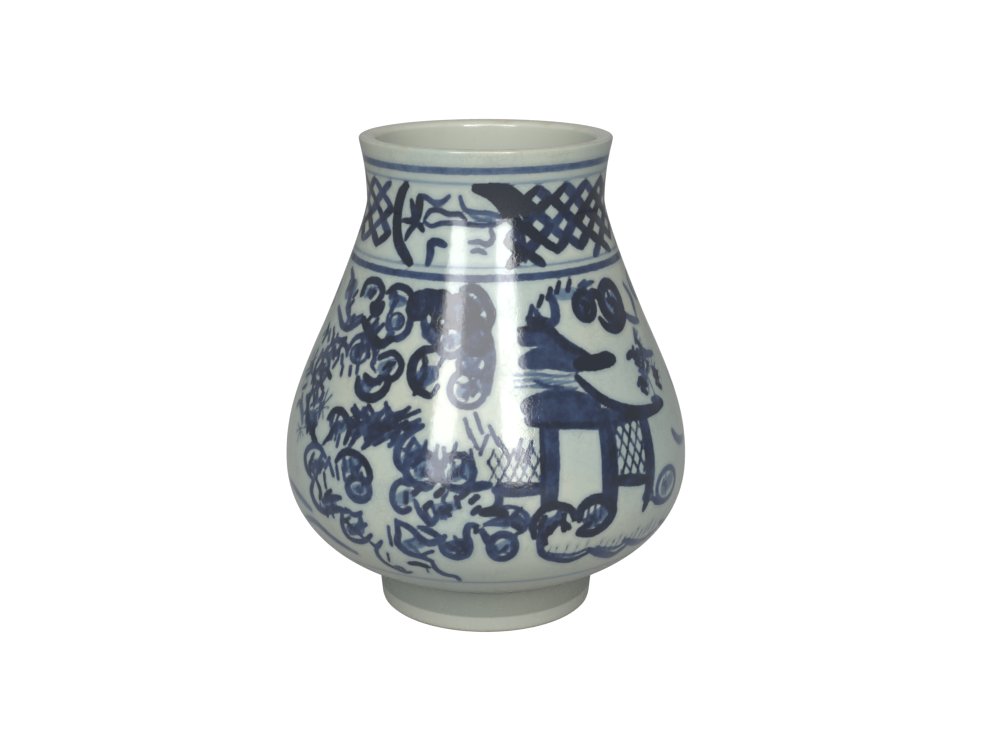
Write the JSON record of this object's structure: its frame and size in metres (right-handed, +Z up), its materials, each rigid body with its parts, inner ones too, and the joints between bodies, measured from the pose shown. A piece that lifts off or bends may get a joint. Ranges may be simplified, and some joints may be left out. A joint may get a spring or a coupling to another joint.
{
  "type": "jar",
  "caption": "Glazed stoneware jar with a full belly, tapering shoulder, wide neck and rolled lip, painted in underglaze blue, open at the mouth, standing on a turned foot ring.",
  "frame": {"origin": "centre of the foot ring's resting face, where the jar stands on a surface", "axes": "+Z up along the axis the jar was thrown on, through the middle of the mouth; -Y is the side that the picture shows"},
  "size_m": [0.1782, 0.1782, 0.21],
  "materials": {
    "foot_clay": "thin glaze over turned clay, bare on the resting edge",
    "lower_glaze": "glossy grey-green glaze over underglaze blue painting",
    "upper_glaze": "glossy grey-green glaze over underglaze blue painting",
    "neck_glaze": "glossy grey-green glaze over underglaze blue painting"
  },
  "bodies": {
    "root": {"foot_ring": "foot_clay", "lower_body": "lower_glaze", "upper_body": "upper_glaze", "neck": "neck_glaze"}
  },
  "joints": []
}
